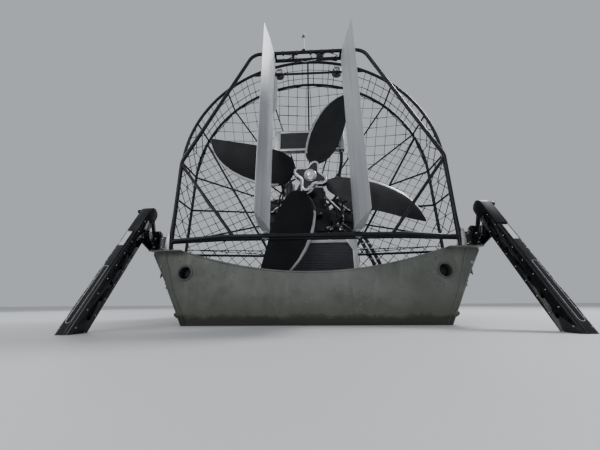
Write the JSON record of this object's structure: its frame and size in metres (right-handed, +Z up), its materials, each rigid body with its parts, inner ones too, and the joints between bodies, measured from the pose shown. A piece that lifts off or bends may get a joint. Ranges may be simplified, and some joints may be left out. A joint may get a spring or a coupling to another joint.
{
  "type": "airboat",
  "caption": "Flat-bottomed aluminium airboat: caged pusher propeller and engine, twin air rudders, raised driver's seat, passenger bench and a folding shallow-water anchor on each stern corner.",
  "frame": {"origin": "centre of the flat bottom's underside, half the hull's length ahead of the transom", "axes": "+X to starboard, +Y forward along the hull, +Z up"},
  "size_m": [2.682, 5.9373, 2.905],
  "materials": {
    "hull_aluminium": "weathered bare aluminium",
    "cage_paint": "satin near-black",
    "rudder_aluminium": "brushed bare aluminium",
    "blade_composite": "dark composite",
    "polished_metal": "polished",
    "engine_black": "satin black",
    "engine_cast": "cast aluminium",
    "exhaust_steel": "heat-stained stainless",
    "radiator": "black fins",
    "anchor_black": "gloss black",
    "vinyl": "marine vinyl",
    "plastic": "moulded",
    "lamp": "clear lens on white"
  },
  "bodies": {
    "hull": {"hull_bottom": "hull_aluminium", "deck_floor": "hull_aluminium", "transom": "hull_aluminium", "bow_plate": "hull_aluminium", "bow_deck": "hull_aluminium", "rudder_frame": "cage_paint", "cage_aft_hoop": "cage_paint", "cage_front": "cage_paint", "cage_screen": "cage_paint", "reduction_gearbox": "engine_cast", "engine_block": "engine_black", "intake_and_air_cleaner": "engine_black", "belt_drive": "engine_cast", "engine_stand": "cage_paint", "radiator_lower": "radiator", "radiator_upper": "radiator", "driver_seat_tower": "cage_paint", "driver_seat_shell": "plastic", "driver_seat_cushion": "vinyl", "driver_seat_back": "vinyl", "passenger_bench_frame": "hull_aluminium", "passenger_bench_cushion": "vinyl", "passenger_bench_back": "vinyl", "steering_stick": "polished_metal", "throttle_pedal": "polished_metal", "fuel_tank": "hull_aluminium", "battery_box": "plastic", "anchor_light": "lamp", "bow_grab_rail": "polished_metal", "hull_side_left": "hull_aluminium", "gunwale_left": "hull_aluminium", "stern_corner_plate_left": "hull_aluminium", "drain_fitting_left": "plastic", "cylinder_head_left": "engine_cast", "exhaust_left": "exhaust_steel", "work_light_left": "lamp", "anchor_bracket_left": "anchor_black", "hull_side_right": "hull_aluminium", "gunwale_right": "hull_aluminium", "stern_corner_plate_right": "hull_aluminium", "drain_fitting_right": "plastic", "cylinder_head_right": "engine_cast", "exhaust_right": "exhaust_steel", "work_light_right": "lamp", "anchor_bracket_right": "anchor_black"},
    "propeller": {"propeller_hub": "polished_metal", "propeller_blade_1": "blade_composite", "propeller_blade_2": "blade_composite", "propeller_blade_3": "blade_composite", "propeller_blade_4": "blade_composite"},
    "rudder_left": {"rudder_left": "rudder_aluminium"},
    "rudder_right": {"rudder_right": "rudder_aluminium"},
    "steering_link": {"steering_link": "polished_metal"},
    "anchor_arm_left": {"anchor_arm_left": "anchor_black"},
    "anchor_tie_left": {"anchor_tie_left": "polished_metal"},
    "anchor_pole_left": {"anchor_pole_left": "anchor_black"},
    "anchor_arm_right": {"anchor_arm_right": "anchor_black"},
    "anchor_tie_right": {"anchor_tie_right": "polished_metal"},
    "anchor_pole_right": {"anchor_pole_right": "anchor_black"}
  },
  "joints": [
    {"name": "propeller_spin", "type": "hinge", "parent": "hull", "child": "propeller", "pos_m": [0, -2.43, 1.39], "axis": [0, 1, 0], "continuous": true},
    {"name": "rudder_left_turn", "type": "hinge", "parent": "hull", "child": "rudder_left", "pos_m": [-0.36, -2.68, 1.6], "axis": [0, 0, 1], "range_deg": [-35, 35]},
    {"name": "rudder_right_turn", "type": "hinge", "parent": "hull", "child": "rudder_right", "pos_m": [0.36, -2.68, 1.6], "axis": [0, 0, 1], "range_deg": [-35, 35]},
    {"name": "steering_link_turn", "type": "hinge", "parent": "rudder_left", "child": "steering_link", "pos_m": [-0.36, -2.56, 0.785], "axis": [0, 0, 1], "range_deg": [-35, 35]},
    {"name": "anchor_left_fold", "type": "hinge", "parent": "hull", "child": "anchor_arm_left", "pos_m": [-1.276, -2.67, 0.735], "axis": [-1, 0, 0], "range_deg": [0, 55]},
    {"name": "anchor_left_pole_fold", "type": "hinge", "parent": "anchor_arm_left", "child": "anchor_pole_left", "pos_m": [-1.276, -2.76, 0.92], "axis": [-1, 0, 0], "range_deg": [0, 93.05]},
    {"name": "anchor_left_tie_turn", "type": "hinge", "parent": "hull", "child": "anchor_tie_left", "pos_m": [-1.276, -2.6686, 0.7794], "axis": [-1, 0, 0], "range_deg": [0, 83.1]},
    {"name": "anchor_right_fold", "type": "hinge", "parent": "hull", "child": "anchor_arm_right", "pos_m": [1.276, -2.67, 0.735], "axis": [-1, 0, 0], "range_deg": [0, 55]},
    {"name": "anchor_right_pole_fold", "type": "hinge", "parent": "anchor_arm_right", "child": "anchor_pole_right", "pos_m": [1.276, -2.76, 0.92], "axis": [-1, 0, 0], "range_deg": [0, 93.05]},
    {"name": "anchor_right_tie_turn", "type": "hinge", "parent": "hull", "child": "anchor_tie_right", "pos_m": [1.276, -2.6686, 0.7794], "axis": [-1, 0, 0], "range_deg": [0, 83.1]}
  ],
  "couplings": [
    {"joint": "rudder_right_turn", "follows": "rudder_left_turn", "ratio": 1},
    {"joint": "steering_link_turn", "follows": "rudder_left_turn", "ratio": -1},
    {"joint": "anchor_left_pole_fold", "follows": "anchor_left_fold", "ratio": 1.6909},
    {"joint": "anchor_left_tie_turn", "follows": "anchor_left_fold", "ratio": 1.51},
    {"joint": "anchor_right_pole_fold", "follows": "anchor_right_fold", "ratio": 1.6909},
    {"joint": "anchor_right_tie_turn", "follows": "anchor_right_fold", "ratio": 1.51}
  ]
}
